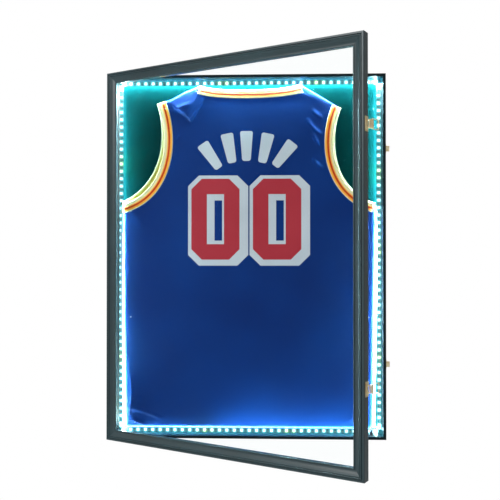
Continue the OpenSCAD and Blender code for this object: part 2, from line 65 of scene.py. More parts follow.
# %% Measures of the case
MM = 0.001
UPRIGHT = (math.radians(90), 0, 0)
case_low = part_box("case_left_board")[0]
case_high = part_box("case_right_board")[1]
case_middle = (case_low + case_high) / 2
front_y = case_low.y
felt_low, felt_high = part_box("felt_liner")
felt_y = felt_low.y
inner_low = Vector((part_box("case_left_board")[1].x, front_y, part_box("case_bottom_board")[1].z))
inner_high = Vector((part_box("case_right_board")[0].x, felt_y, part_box("case_top_board")[0].z))
tape_low, tape_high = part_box("led_tape_left")
tape_width = tape_high.x - tape_low.x
tape_y = tape_low.y
print("inside", round(inner_high.x - inner_low.x, 4), "by", round(inner_high.z - inner_low.z, 4))


# %% [markdown]
# ## Small helpers
# Operators act on whatever is selected, so each one here starts by clearing the selection. A finished piece
# has its place in its mesh and its object at the origin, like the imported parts, and rides on one of the
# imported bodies.

# %% Helpers for pieces
def pick(*objects):
    """Selects only these objects and makes the first one active."""
    if bpy.context.object and bpy.context.object.mode != "OBJECT":
        bpy.ops.object.mode_set(mode="OBJECT")
    bpy.ops.object.select_all(action="DESELECT")
    for obj in objects:
        obj.select_set(True)
    bpy.context.view_layer.objects.active = objects[0]


def added(name):
    """Names the object that an operator has just added, and selects it alone."""
    obj = bpy.context.object
    obj.name = name
    obj.data.name = name
    pick(obj)
    return obj


def edit_all():
    """Goes into edit mode with the whole mesh selected."""
    bpy.ops.object.mode_set(mode="EDIT")
    bpy.ops.mesh.select_all(action="SELECT")


def settle(obj):
    """Moves an object's place, turn and scale into its mesh."""
    pick(obj)
    bpy.ops.object.transform_apply(location=True, rotation=True, scale=True)


def joined(name, parts):
    """Joins several meshes into one piece."""
    pick(*parts)
    if len(parts) > 1:
        bpy.ops.object.join()
    return added(name)


def copies(obj, places):
    """Copies of a small mesh at each place. The mesh itself is removed."""
    made = []
    for place in places:
        twin = obj.copy()
        twin.data = obj.data.copy()
        bpy.context.collection.objects.link(twin)
        twin.matrix_world = place @ obj.matrix_world
        made.append(twin)
    bpy.data.objects.remove(obj)
    return made


def finished(obj, material, smooth=None):
    """Gives a piece its material and its shading, and lets it ride on the case."""
    settle(obj)
    obj.data.materials.clear()
    obj.data.materials.append(material)
    if smooth is not None:
        bpy.ops.object.shade_smooth_by_angle(angle=math.radians(smooth))
    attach(obj, "case")


def applied(obj, kind, **settings):
    """Adds a modifier with these settings and applies it."""
    pick(obj)
    modifier = obj.modifiers.new(kind.title(), kind)
    for key, value in settings.items():
        setattr(modifier, key, value)
    bpy.ops.object.modifier_apply(modifier=modifier.name)


# %% [markdown]
# ## Camera
# The picture is taken from a little right of the middle and level with it, about 1.6 m from the front of
# the case, turned slightly to the left. A 53 mm lens lets the open door converge gently.

# %% Camera
camera_from_case = Vector((61.0, -1605.5, -0.3)) * MM
LENS = 52.68
TILT_UP, TURN_LEFT = 0.5, 2.066
camera_data = bpy.data.cameras.new("camera")
camera_data.lens = LENS
camera_data.sensor_width = 36.0
camera = bpy.data.objects.new("camera", camera_data)
bpy.context.collection.objects.link(camera)
camera.location = Vector((case_middle.x, front_y, case_middle.z)) + camera_from_case
camera.rotation_euler = (math.radians(90 + TILT_UP), 0, math.radians(TURN_LEFT))
bpy.context.scene.camera = camera

# %% [markdown]
# ## Studio
# The camera looks into a white room, but the room lights the object at about two thirds of that white, and
# a quarter on the right. One large soft lamp shapes the moulding from the left. The floor lies well below
# the case, which hangs on a wall. The plain colour transform keeps white paper white and the blues clean.

# %% Studio light and floor
ROOM_LIGHT = 0.68
DARK_SIDE = 0.35
# Where the room starts and stops darkening: 0 is straight ahead and 1 is full right
DARKENS = (-0.3, 0.8)
world = bpy.data.worlds.new("white_room")
bpy.context.scene.world = world
world.use_nodes = True
room = world.node_tree.nodes["Background"]
room.inputs["Color"].default_value = (1.0, 1.0, 1.0, 1.0)
room_nodes, room_links = world.node_tree.nodes, world.node_tree.links
direction = room_nodes.new("ShaderNodeTexCoord")
split = room_nodes.new("ShaderNodeSeparateXYZ")
room_links.new(direction.outputs["Generated"], split.inputs["Vector"])
shade = room_nodes.new("ShaderNodeMapRange")
shade.inputs["From Min"].default_value = DARKENS[0]
shade.inputs["From Max"].default_value = DARKENS[1]
shade.inputs["To Min"].default_value = ROOM_LIGHT
shade.inputs["To Max"].default_value = ROOM_LIGHT * DARK_SIDE
room_links.new(split.outputs["X"], shade.inputs["Value"])
seen = room_nodes.new("ShaderNodeLightPath")
brighter = room_nodes.new("ShaderNodeMath")
brighter.operation = "MAXIMUM"
room_links.new(seen.outputs["Is Camera Ray"], brighter.inputs[0])
room_links.new(shade.outputs["Result"], brighter.inputs[1])
room_links.new(brighter.outputs["Value"], room.inputs["Strength"])
bpy.context.scene.view_settings.view_transform = "Standard"


def soft_lamp(name, place, target, width, height, power, colour=(1.0, 1.0, 1.0), hidden=False):
    """A rectangular lamp aimed at a point. A hidden one isn't mirrored in anything."""
    data = bpy.data.lights.new(name, "AREA")
    data.shape = "RECTANGLE"
    data.size = width
    data.size_y = height
    data.energy = power
    data.color = colour
    lamp = bpy.data.objects.new(name, data)
    bpy.context.collection.objects.link(lamp)
    lamp.location = place
    lamp.rotation_euler = (Vector(target) - Vector(place)).to_track_quat("-Z", "Y").to_euler()
    lamp.visible_camera = False
    lamp.visible_glossy = not hidden
    return lamp


KEY_PLACE = (-1.5, -2.2, 1.1)
KEY_SIDE = 1.6
KEY_POWER = 40
FLOOR_DROP = 1.2
FLOOR_SIDE = 6
soft_lamp("key_lamp", KEY_PLACE, case_middle, KEY_SIDE, KEY_SIDE, KEY_POWER)
bpy.ops.mesh.primitive_plane_add(size=FLOOR_SIDE, location=(0, 0, case_low.z - FLOOR_DROP))
floor = added("studio_floor")
print("room at", ROOM_LIGHT, "of white, floor", FLOOR_DROP, "m below the case")


# %% [markdown]
# ## Finishes
# Each finish is a small node tree. The patterns run on Object coordinates, in metres, so that a grain or a
# weave has its true size on every part. Numbers that hold all over a surface are set straight on the
# shader.

# %% Node helpers
class Finish:
    """A material with a Principled shader, and short ways to add the nodes that feed it."""

    def __init__(self, name, colour, roughness, metallic=0.0, **sockets):
        self.material = bpy.data.materials.new(name)
        self.material.use_nodes = True
        self.tree = self.material.node_tree
        self.shader = self.tree.nodes["Principled BSDF"]
        self.shader.inputs["Base Color"].default_value = (*colour, 1.0)
        self.shader.inputs["Roughness"].default_value = roughness
        self.shader.inputs["Metallic"].default_value = metallic
        for socket, value in sockets.items():
            self.shader.inputs[socket.replace("_", " ")].default_value = value

    def node(self, kind, feeds=None, **settings):
        """Adds a node. feeds gives a number, a colour or a socket to each of its inputs that is named."""
        made = self.tree.nodes.new(kind)
        for key, value in settings.items():
            setattr(made, key, value)
        for key, value in (feeds or {}).items():
            if isinstance(value, (int, float)):
                made.inputs[key].default_value = value
            elif isinstance(value, tuple):
                made.inputs[key].default_value = (*value, 1.0)
            else:
                self.link(value, made.inputs[key])
        return made

    def link(self, source, target):
        self.tree.links.new(source, target)

    def place(self, scale=(1, 1, 1), turn=(0, 0, 0), source="Object"):
        """Coordinates in metres, stretched and turned."""
        coordinates = self.node("ShaderNodeTexCoord")
        mapping = self.node("ShaderNodeMapping")
        mapping.inputs["Scale"].default_value = scale
        mapping.inputs["Rotation"].default_value = [math.radians(a) for a in turn]
        self.link(coordinates.outputs[source], mapping.inputs["Vector"])
        return mapping.outputs["Vector"]

    def noise(self, scale, detail=2.0, where=None, roughness=0.5):
        feeds = {"Scale": scale, "Detail": detail, "Roughness": roughness, "Vector": where or self.place()}
        return self.node("ShaderNodeTexNoise", feeds).outputs["Fac"]

    def axes(self, source="Object"):
        """The place, split into X, Y and Z."""
        return self.node("ShaderNodeSeparateXYZ", {"Vector": self.place(source=source)}).outputs

    def waves(self, scale, direction, turn=(0, 0, 0), distortion=0.0):
        """Straight waves, for threads and loops."""
        feeds = {"Scale": scale, "Distortion": distortion, "Vector": self.place(turn=turn)}
        return self.node("ShaderNodeTexWave", feeds, bands_direction=direction).outputs["Fac"]

    def ramp(self, factor, *stops):
        """A colour ramp of (place, colour) stops."""
        made = self.node("ShaderNodeValToRGB")
        elements = made.color_ramp.elements
        while len(elements) < len(stops):
            elements.new(0.5)
        for element, (place, colour) in zip(elements, stops):
            element.position = place
            element.color = (*colour, 1.0)
        self.link(factor, made.inputs["Fac"])
        return made.outputs["Color"]

    def math(self, operation, first, second=0.0):
        return self.node("ShaderNodeMath", {0: first, 1: second}, operation=operation).outputs["Value"]

    def mix(self, factor, first, second):
        """Mixes two colours, each one a socket or a plain value."""
        feeds = {0: factor, 6: first, 7: second}
        return self.node("ShaderNodeMix", feeds, data_type="RGBA").outputs[2]

    def range(self, value, low, high):
        """Spreads a 0 to 1 value between low and high."""
        feeds = {"To Min": low, "To Max": high, "Value": value}
        return self.node("ShaderNodeMapRange", feeds).outputs["Result"]

    def bump(self, height, distance):
        made = self.node("ShaderNodeBump", {"Strength": 1.0, "Distance": distance, "Height": height})
        self.link(made.outputs["Normal"], self.shader.inputs["Normal"])

    def colour(self, source):
        self.link(source, self.shader.inputs["Base Color"])

    def rough(self, source):
        self.link(source, self.shader.inputs["Roughness"])

    def glow(self, source, strength):
        """Lights the surface itself. Lamps throw its light on other things."""
        self.link(source, self.shader.inputs["Emission Color"])
        self.shader.inputs["Emission Strength"].default_value = strength
        self.material.cycles.emission_sampling = "NONE"


# %% Pale floor
def pale_floor():
    made = Finish("studio_white", (0.93, 0.93, 0.93), 0.8)
    patches = made.noise(2, 2)
    made.colour(made.ramp(patches, (0.3, (0.92, 0.92, 0.92)), (0.7, (0.94, 0.94, 0.94))))
    return made.material


floor.data.materials.append(pale_floor())


# %% [markdown]
# ### Lacquered wood
# The moulding and the case boards are fibreboard under a satin black lacquer. Up close the film shows faint
# orange peel and paler places that hands have polished. Three noises do this: for the wear, the gloss and
# the film.

# %% Black lacquer
def black_lacquer(name, colour, roughness, peel, coat=0.25, gloss=0.5):
    made = Finish(name, colour, roughness, Coat_Weight=coat, Coat_Roughness=0.2, Specular_IOR_Level=gloss)
    wear = made.noise(14, 4)
    polished = tuple(c * 1.5 for c in colour)
    made.colour(made.ramp(wear, (0.3, colour), (0.75, polished)))
    made.rough(made.range(made.noise(45, 3), roughness - 0.07, roughness + 0.1))
    made.bump(made.noise(900, 2), peel)
    return made.material


# The moulding's colour has a teal tint: painted reflection of the tape's teal light on black lacquer
moulding_black = black_lacquer("moulding_black", (0.010, 0.030, 0.036), 0.34, 0.05 * MM)
board_black = black_lacquer("board_black", (0.004, 0.010, 0.013), 0.62, 0.06 * MM, coat=0.0, gloss=0.08)
strip_black = black_lacquer("strip_black", (0.012, 0.012, 0.013), 0.3, 0.03 * MM)


# %% [markdown]
# ### Bare wood and board
# The rails behind the back board are sawn softwood with long streaks of grain. The back board is hardboard:
# brown, fibrous, with darker flecks. The panel under the felt is white foam board.

# %% Wood and board
def sawn_pine():
    made = Finish("sawn_pine", (0.6, 0.42, 0.24), 0.65)
    along = made.place(scale=(3, 60, 60))
    rings = made.noise(4, 5, along, 0.6)
    grain = [(0.3, (0.42, 0.26, 0.12)), (0.5, (0.62, 0.44, 0.24)), (0.7, (0.72, 0.55, 0.33))]
    made.colour(made.ramp(rings, *grain))
    made.bump(made.noise(9, 4, made.place(scale=(8, 120, 120))), 0.3 * MM)
    return made.material


def hardboard():
    made = Finish("hardboard_brown", (0.26, 0.16, 0.09), 0.6)
    flecks = made.noise(420, 4, None, 0.7)
    browns = [(0.35, (0.13, 0.075, 0.04)), (0.55, (0.25, 0.155, 0.085)), (0.8, (0.36, 0.24, 0.14))]
    made.colour(made.ramp(flecks, *browns))
    made.bump(flecks, 0.12 * MM)
    return made.material


def skin(name, colour, low, high, patch, pores, depth, **sockets):
    """One colour with fine pores. Its roughness wanders from low to high in patches."""
    made = Finish(name, colour, low, **sockets)
    made.rough(made.range(made.noise(patch), low, high))
    made.bump(made.noise(pores), depth * MM)
    return made.material


foam_board = skin("foam_board_white", (0.82, 0.82, 0.8), 0.7, 0.7, 200, 1500, 0.03)


# %% [markdown]
# ### Metals
# The latches and catches are stamped steel with a bright brass plate. Brushing runs along the parts, and
# the plate is slightly mottled. The hangers are zinc plated, with a grey skin.

# %% Metals
def plated(name, dark, bright, roughness, brush_scale, metallic=1.0):
    made = Finish(name, bright, roughness, metallic=metallic)
    tone = made.noise(160, 3)
    made.colour(made.ramp(tone, (0.3, dark), (0.62, bright)))
    brush = made.noise(60, 2, made.place(scale=brush_scale))
    made.rough(made.range(brush, roughness - 0.08, roughness + 0.12))
    made.bump(brush, 0.02 * MM)
    return made.material


brass = plated("brass_plate", (0.80, 0.58, 0.28), (1.0, 0.88, 0.60), 0.30, (30, 30, 3), metallic=0.75)
zinc = plated("zinc_plate", (0.48, 0.49, 0.5), (0.78, 0.79, 0.8), 0.38, (20, 20, 20))
steel = plated("bright_steel", (0.5, 0.5, 0.52), (0.72, 0.72, 0.74), 0.28, (10, 60, 10))
nickel = plated("nickel_plate", (0.55, 0.53, 0.5), (0.82, 0.8, 0.76), 0.18, (30, 30, 3))


# %% [markdown]
# ### Black hardware and wire
# The hinges and their screws are black japanned steel. The socket is moulded plastic with fine pores, and
# the wires have a soft vinyl sleeve.

# %% Black hardware
vinyl_black = (0.02, 0.02, 0.021)
black_japan = skin("black_japan", (0.016, 0.016, 0.017), 0.26, 0.45, 300, 1200, 0.03, Coat_Weight=0.4)
wire_sleeve = skin("wire_sleeve", vinyl_black, 0.35, 0.48, 200, 2500, 0.04)
socket_plastic = skin("socket_plastic", vinyl_black, 0.45, 0.58, 200, 2500, 0.04)


# %% [markdown]
# ### Clear panel
# The door is glazed with clear acrylic. A plain mix of see-through and gloss, weighted by the angle of
# view, keeps the lit case clear behind it and still catches the lamps at the edges.

# %% Acrylic
def clear_acrylic():
    made = Finish("clear_acrylic", (0.9, 0.97, 1.0), 0.03)
    clear = made.node("ShaderNodeBsdfTransparent", {"Color": (0.985, 0.995, 0.995)}).outputs["BSDF"]
    gloss = made.node("ShaderNodeBsdfGlossy", {"Roughness": 0.02}).outputs["BSDF"]
    edge = made.node("ShaderNodeLayerWeight", {"Blend": 0.5}).outputs["Facing"]
    share = made.math("MULTIPLY", made.math("POWER", edge, 4.0), 0.6)
    mixed = made.node("ShaderNodeMixShader", {"Fac": share, 1: clear, 2: gloss})
    made.link(mixed.outputs["Shader"], made.tree.nodes["Material Output"].inputs["Surface"])
    return made.material


# %% [markdown]
# ### Lights and tape
# The tape is a white ribbon with a light chip every 16.7 mm. Lit, each chip burns out to white and its
# light spills over the ribbon round it, while the ribbon half way between two chips stays a dark teal. The
# colour wanders from ice blue to a greener tint along the run, as cheap tape does.

# %% Lit tape and chips
LED_PITCH = 16.667 * MM
STRETCH = 26 * MM
CHIP_GLOW = 2.2
TAPE_GLOW = 1.0
ice = (0.30, 0.92, 1.0)
spring = (0.55, 1.0, 0.30)
# Side of the case: the axis that its tape runs along, and the middles of its greener stretches, in mm
sides = {
    "left": ("Z", (-155, -592)),
    "right": ("Z", (-178, -352, -588)),
    "top": ("X", (-58, 152)),
    "bottom": ("X", (-96, 88)),
}


def along_side(made, side):
    """The place along the side's tape, and how green the run is there, from 0 to 1."""
    axis, greens = sides[side]
    run = made.axes()[axis]
    green = 0.0
    for middle in greens:
        away = made.math("ABSOLUTE", made.math("SUBTRACT", run, middle * MM))
        here = made.math("SUBTRACT", 1.0, made.math("DIVIDE", away, STRETCH))
        green = made.math("MAXIMUM", here, green)
    return run, green


def lit_chip(side):
    """A chip that burns out to white, with a little of the run's tint."""
    made = Finish(f"lit_chip_{side}", (0.9, 1.0, 1.0), 0.3)
    green = along_side(made, side)[1]
    made.glow(made.mix(green, (0.66, 0.98, 1.0), (0.92, 1.0, 0.60)), CHIP_GLOW)
    return made.material


def lit_tape(side):
    """The white ribbon with a painted glow of the chips' light: bright round each chip, dark teal between."""
    made = Finish(f"lit_tape_{side}", (0.05, 0.13, 0.14), 0.5, Specular_IOR_Level=0.2)
    run, green = along_side(made, side)
    level = sides[side][0] == "X"
    count = chips_on_short_side if level else chips_on_long_side
    start = (case_middle.x if level else case_middle.z) - count / 2 * LED_PITCH
    phase = made.math("FRACT", made.math("DIVIDE", made.math("SUBTRACT", run, start), LED_PITCH))
    away = made.math("ABSOLUTE", made.math("SUBTRACT", phase, 0.5))
    near = made.math("SUBTRACT", 1.0, made.math("MULTIPLY", away, 1.6))
    spill = made.math("POWER", near, 2.0)
    # The ribbon is no lamp: its glow is painted light spilled from the chips
    made.glow(made.mix(spill, (0.0, 0.10, 0.12), made.mix(green, ice, spring)), TAPE_GLOW)
    return made.material


# %% [markdown]
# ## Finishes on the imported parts
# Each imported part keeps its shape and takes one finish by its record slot. The moulding, boards and
# hardware are then done; the felt and the jersey are stand-ins that the next steps replace.

# %% Assign the finishes
chips_on_long_side = int((tape_high.z - tape_low.z) / LED_PITCH)
chips_on_short_side = int((inner_high.x - inner_low.x) / LED_PITCH)
by_slot = {
    "black_board": board_black,
    "hardboard": hardboard(),
    "pin_panel": foam_board,
    "pine": sawn_pine(),
    "zinc_steel": zinc,
    "plain_steel": steel,
    "wire_black": wire_sleeve,
    "socket_black": socket_plastic,
    "nickel": nickel,
    "black_steel": black_japan,
    "black_moulding": moulding_black,
    "clear_acrylic": clear_acrylic(),
    "black_strip": strip_black,
    "brass": brass,
}
for part in frame["record"]["subparts"]:
    name, slot = part["node"], part["material_slot"]
    side = name.split("_")[-1]
    if slot == "tape_white":
        finish = lit_tape(side)
    elif slot == "led_lens":
        finish = lit_chip(side)
    else:
        finish = by_slot.get(slot)
    if finish:
        nodes[name].data.materials.clear()
        nodes[name].data.materials.append(finish)


# %% [markdown]
# ## Light from the tape
# Each run of tape throws light two ways: inwards over the felt and the jersey's edges, and forwards on the
# back of the door. Long thin lamps stand in for the many chips, because they give the same wash with far
# less noise. The left half of the bottom run is weaker, so its right half gets a second lamp. A few weak
# lamps further forward stand for the light that the door's panel sends back.

# %% Lamps along the tape
# Power of each run's lamps, inwards and to the front, in watts a metre
WASH = {"left": 9.0, "right": 12.0, "top": 20.0, "bottom": 2.5}
FRONT = {"left": 0.8, "right": 0.3, "top": 3.0, "bottom": 2.5}
LAMP_SIDE = 5.4 * MM
ice_light = (0.55, 0.92, 1.0)
front_light = (0.08, 0.80, 1.0)
green_light = (0.8, 0.9, 0.02)
glow_light = (0.25, 0.85, 1.0)
GREEN_POWER = 2.0
GLOW_HEIGHT = 28 * MM
# side, power a metre, length and middle of each lamp that stands further forward, in mm
glows = [("bottom", 0.9, 360, 110), ("top", 0.25, 500, 0), ("right", 0.2, 300, -600)]
chip_front_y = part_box("led_chips_left")[0].y
lamp_y = tape_y - LAMP_SIDE / 2


def side_of_case(side):
    """Whether a side runs level, which way is outwards there, and where its wall's inner face is."""
    walls = {"left": inner_low.x, "right": inner_high.x, "bottom": inner_low.z, "top": inner_high.z}
    return sides[side][0] == "X", 1 if side in ("right", "top") else -1, walls[side]


def run_lamp(name, side, facing, power, colour=ice_light, span=None, middle=None):
    """A thin lamp along one side's tape, facing inwards or to the front."""
    level, sign, wall = side_of_case(side)
    to_front = facing == "front"
    line = wall - sign * (tape_width / 2 if to_front else tape_width)
    place = Vector((case_middle.x, lamp_y, line) if level else (line, lamp_y, case_middle.z))
    if middle is not None:
        place[0 if level else 2] = middle * MM
    across = Vector((0, 0, 1)) if level else Vector((1, 0, 0))
    aim = Vector((0, -1, 0)) if to_front else -sign * across
    if to_front:
        place.y = chip_front_y - 0.5 * MM
    length = span or ((inner_high.x - inner_low.x) if level else (inner_high.z - inner_low.z))
    lamp = soft_lamp(name, place, place + aim, length, LAMP_SIDE, power * length, colour, to_front)
    along = Vector((1, 0, 0)) if level else Vector((0, 0, 1))
    back = -aim
    lamp.rotation_euler = Matrix((along, back.cross(along), back)).transposed().to_euler()
    return lamp


for side, (axis, greens) in sides.items():
    run_lamp(f"wash_{side}", side, "in", WASH[side])
    run_lamp(f"front_{side}", side, "front", FRONT[side], front_light)
    for index, middle in enumerate(greens):
        run_lamp(f"green_{side}_{index}", side, "in", GREEN_POWER, green_light, 2 * STRETCH, middle)
run_lamp("wash_bottom_right", "bottom", "in", 4.5, span=320 * MM, middle=130)
for side, power, span, middle in glows:
    glow = run_lamp(f"glow_{side}", side, "in", power, glow_light, span * MM, middle)
    glow.location.y -= GLOW_HEIGHT


# %% [markdown]
# ## Small parts on the tape
# Between two chips the tape carries a small dark resistor on its inner side, and a pair of bare copper pads
# where it may be cut. They are tiny, so one block with rounded edges is made and then copied along each
# run.

# %% Resistors and cut pads
RESISTOR = Vector((2.6, 0.7, 1.5)) * MM
RESISTOR_INSET = 7.0 * MM
PAD = Vector((1.1, 0.12, 1.6)) * MM
PAD_INSET = 3.4 * MM
PAD_APART = 1.2 * MM


def block(name, size, bevel):
    """A small block with rounded edges, made round the origin."""
    bpy.ops.mesh.primitive_cube_add(size=1)
    made = added(name)
    made.scale = size
    settle(made)
    edit_all()
    bpy.ops.mesh.bevel(offset=bevel, segments=1)
    bpy.ops.object.mode_set(mode="OBJECT")
    return made


def run_places(side, count, inset, depth, first=0.0):
    """Places along one side's tape, a pitch apart, with the piece's length turned along the tape."""
    level, sign, wall = side_of_case(side)
    middle = case_middle.x if level else case_middle.z
    turn = Matrix.Identity(4) if level else Matrix.Rotation(math.radians(90), 4, "Y")
    places = []
    for k in range(count):
        run = middle + (k + first - (count - 1) / 2) * LED_PITCH
        line = wall - sign * inset
        spot = Vector((run, tape_y - depth, line) if level else (line, tape_y - depth, run))
        places.append(Matrix.Translation(spot) @ turn)
    return places


copper = plated("bare_copper", (0.6, 0.3, 0.16), (0.92, 0.56, 0.38), 0.3, (20, 20, 20))
resistor_black = skin("resistor_black", (0.02, 0.03, 0.035), 0.25, 0.5, 900, 3000, 0.02)
for side, (axis, greens) in sides.items():
    gaps = (chips_on_short_side if axis == "X" else chips_on_long_side) - 1
    chip = block("resistor", RESISTOR, 0.15 * MM)
    places = run_places(side, gaps, RESISTOR_INSET, RESISTOR.y / 2)
    row = joined(f"tape_resistors_{side}", copies(chip, places))
    finished(row, resistor_black)
    pads = []
    for nudge in (-PAD_APART, PAD_APART):
        pad = block("pad", PAD, 0.03 * MM)
        pads += copies(pad, run_places(side, gaps, PAD_INSET, PAD.y / 2, nudge / LED_PITCH))
    row = joined(f"tape_pads_{side}", pads)
    finished(row, copper)
print("resistors and pads on", len(sides), "runs")


# %% [markdown]
# ## Felt
# The panel is covered with dark felt, glued flat. Felt is short wool in every direction, so its light is
# uneven at two scales: cloudy patches where the nap lies over, and single pale fibres of lint. Beside the
# tape its colour is darkened to near black: painted shade. It is a grid with a slight waviness, given its
# thickness.

# %% Felt
# How far from the tape the felt's colour is darkened: painted shade
PAINTED_SHADE_REACH = 28 * MM
FELT_THICKNESS = 0.6 * MM
FELT_WAVE = 0.06 * MM


def felt_finish():
    made = Finish("dark_felt", (0.012, 0.03, 0.03), 0.95, Specular_IOR_Level=0.0)
    cloud = made.noise(24, 3)
    nap = made.noise(1400, 3, None, 0.7)
    dark = made.ramp(cloud, (0.3, (0.0004, 0.011, 0.0115)), (0.7, (0.0008, 0.018, 0.0185)))
    lint = made.ramp(made.noise(330, 1), (0.79, (0, 0, 0)), (0.83, (1, 1, 1)))
    wool = made.mix(made.range(nap, 0.0, 0.4), dark, (0.001, 0.028, 0.027))
    axes = made.axes()
    half_wide = inner_high.x - tape_width
    half_high = (inner_high.z - inner_low.z) / 2 - tape_width
    off_middle = made.math("SUBTRACT", axes["Z"], case_middle.z)
    side = made.math("SUBTRACT", half_wide, made.math("ABSOLUTE", axes["X"]))
    end = made.math("SUBTRACT", half_high, made.math("ABSOLUTE", off_middle))
    edge = made.math("DIVIDE", made.math("MINIMUM", side, end), PAINTED_SHADE_REACH)
    # Within this reach of the tape the felt's colour goes to near black: painted shade
    inside = made.ramp(edge, (0.0, (0, 0, 0)), (1.0, (1, 1, 1)))
    wool = made.mix(inside, (0.0002, 0.0030, 0.0034), wool)
    made.colour(made.mix(lint, wool, (0.55, 0.62, 0.6)))
    made.bump(nap, 0.35 * MM)
    return made.material


felt_size = felt_high - felt_low
bpy.ops.mesh.primitive_grid_add(
    x_subdivisions=60, y_subdivisions=80, size=1,
    location=(0, felt_low.y + 2 * FELT_WAVE, case_middle.z), rotation=UPRIGHT,
)
felt = added("felt_lining")
felt.scale = (felt_size.x, felt_size.z, 1)
settle(felt)
for vertex in felt.data.vertices:
    vertex.co.y += FELT_WAVE * (math.sin(vertex.co.x * 61) * math.sin(vertex.co.z * 47) + 1)
finished(felt, felt_finish(), smooth=30)
applied(felt, "SOLIDIFY", thickness=FELT_THICKNESS, offset=-1)
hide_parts("felt_liner")
print("felt", round(felt_size.x, 4), "by", round(felt_size.z, 4))


# %% [markdown]
# ## The jersey's outline
# The jersey is a sleeveless shirt laid with its back to the front. It is two layers of cloth, pinned at the
# shoulders, sides and hem. Its edges are a few smooth curves: the armholes, the shoulders, the neck and the
# nearly straight sides. The left armhole is pulled a little, so the far layer shows there as a second,
# paler crescent.

# %% Curves of the outline, in mm
def bezier(start, first, second, end, count=40):
    """Points along a curve with two control points."""
    t = np.linspace(0, 1, count)[:, None]
    a, b, c, d = (np.array(p, float) for p in (start, first, second, end))
    return (1 - t) ** 3 * a + 3 * (1 - t) ** 2 * t * b + 3 * (1 - t) * t**2 * c + t**3 * d


LEFT, RIGHT = -1, 1
HEM = -747.0
armholes = {
    LEFT: bezier((-207, -22), (-176, -100), (-188, -222), (-288, -247)),
    RIGHT: bezier((205, -34), (176, -95), (177, -212), (280, -247)),
}
far_armholes = {
    LEFT: bezier((-208, -21), (-180, -110), (-203, -205), (-290, -243)),
    RIGHT: bezier((206, -33), (180, -95), (181, -211), (281, -245)),
}
side_seams = {
    LEFT: [(-284, -275), (-282.5, -500), (-277, HEM)],
    RIGHT: [(282, -290), (277, -500), (273, HEM)],
}
neck = np.vstack([
    bezier((-111, 19), (-82, 10), (-45, 9), (0, 9), 14),
    bezier((0, 9), (45, 9), (82, 12), (116, 20), 14)[1:],
])
shoulders = {
    LEFT: [(-207, -22), (-174, -10), (-142, 7)],
    RIGHT: [(148, 1), (181, -19), (205, -34)],
}
top_line = np.vstack([shoulders[LEFT], neck, shoulders[RIGHT]])


def edge_at(side, z):
    """The jersey's half width at each height."""
    line = np.vstack([armholes[side], side_seams[side]])[::-1]
    return np.abs(np.interp(z, line[:, 1], line[:, 0]))


def top_at(x):
    """The height of the shoulders and the neck."""
    return np.interp(x, top_line[:, 0], top_line[:, 1])


print("outline", round(top_line[:, 1].max() - HEM), "mm high")


# %% [markdown]
# ## The jersey's relief
# Satin knit lies nearly flat where pins hold it, and breaks into sharp soft-backed creases where it is
# pulled: under the shoulders, beside the armholes and in the bottom corner. Each crease has a steep side
# and a gentle side. The sides roll down to the far layer, and that roll is what catches the light of the
# tape.

# %% Creases
# start, end, rise, steep width, gentle width, in mm: the steep side is on the left, going from start to end
creases = [
    ((-166, -34), (-128, -22), 1.3, 3.0, 5.0),
    ((160, -92), (130, -60), 3.6, 2.2, 4.5),
    ((157, -115), (143, -93), 3.4, 2.2, 4),
    ((161, -55), (142, -38), 2.6, 2.2, 4),
    ((163, -166), (143, -149), 2.8, 2.2, 4),
    ((108, 4), (176, -24), 0.8, 3.0, 12),
    ((-166, -104), (-155, -92), 1.0, 2.0, 6),
    ((-276, -704), (-200, -727), 3.0, 4.0, 3.5),
    ((-276, -728), (-236, -741), 2.8, 3.5, 3.0),
    ((-276, -684), (-240, -684), 1.6, 5.0, 7),
    ((-266, -640), (-268, -712), 1.2, 2.0, 3),
    ((-262, -262), (-236, -300), 0.8, 3.0, 12),
    ((238, -262), (262, -300), 0.8, 3.0, 12),
    ((262, -700), (216, -733), 1.0, 3.0, 10),
]
# corner, far ends of its left and right edges, rise, in mm: cloth that is pulled flat between two folds
facets = [
    ((-131, -60), (-178, -20), (-90, 2), 6.0),
    ((-140, -46), (-176, -40), (-104, 10), 2.6),
]
FACET_REACH = 74
FACET_EDGE = 4.0


def facet(x, z, corner, left, right, rise):
    """A flat patch that rises from the shoulder to its corner, and drops sharply over its two lower edges."""
    height = rise * np.clip(1 - np.hypot(x - corner[0], z - corner[1]) / FACET_REACH, 0, 1)
    for end, side in ((left, -1), (right, 1)):
        run = np.array(end, float) - corner
        off = ((z - corner[1]) * run[0] - (x - corner[0]) * run[1]) / np.hypot(*run)
        height = height * np.clip(side * off / FACET_EDGE + 0.5, 0, 1)
    return height


def crease(x, z, start, end, rise, steep, gentle):
    """One crease: a ridge that fades at both ends, steep on its left."""
    start, end = np.array(start, float), np.array(end, float)
    run = end - start
    length = np.hypot(*run)
    along = ((x - start[0]) * run[0] + (z - start[1]) * run[1]) / length**2
    bow = 0.05 * length * np.sin(np.pi * np.clip(along, 0, 1))
    off = ((z - start[1]) * run[0] - (x - start[0]) * run[1]) / length - bow
    wide = np.where(off > 0, steep, gentle)
    fade = np.sin(np.pi * np.clip((along + 0.12) / 1.24, 0, 1)) ** 0.8
    return rise * fade * np.exp(-((off / wide) ** 2))


# %% The whole relief
# Heights off the felt and the widths of the rolled edges, in mm
FELT_TO_CLOTH = 4.3
EDGE_HEIGHT = 1.2
SIDE_ROLL = 6.5
SHOULDER_ROLL = 5.0
HEM_ROLL = 3.0
ARMHOLE_END = -232
NECK_HALF = 108


def rolled(inset, width):
    """A quarter round: 0 at the edge, 1 from the width inwards."""
    return np.sqrt(np.clip(1 - (1 - np.clip(inset / width, 0, 1)) ** 2, 0, 1))


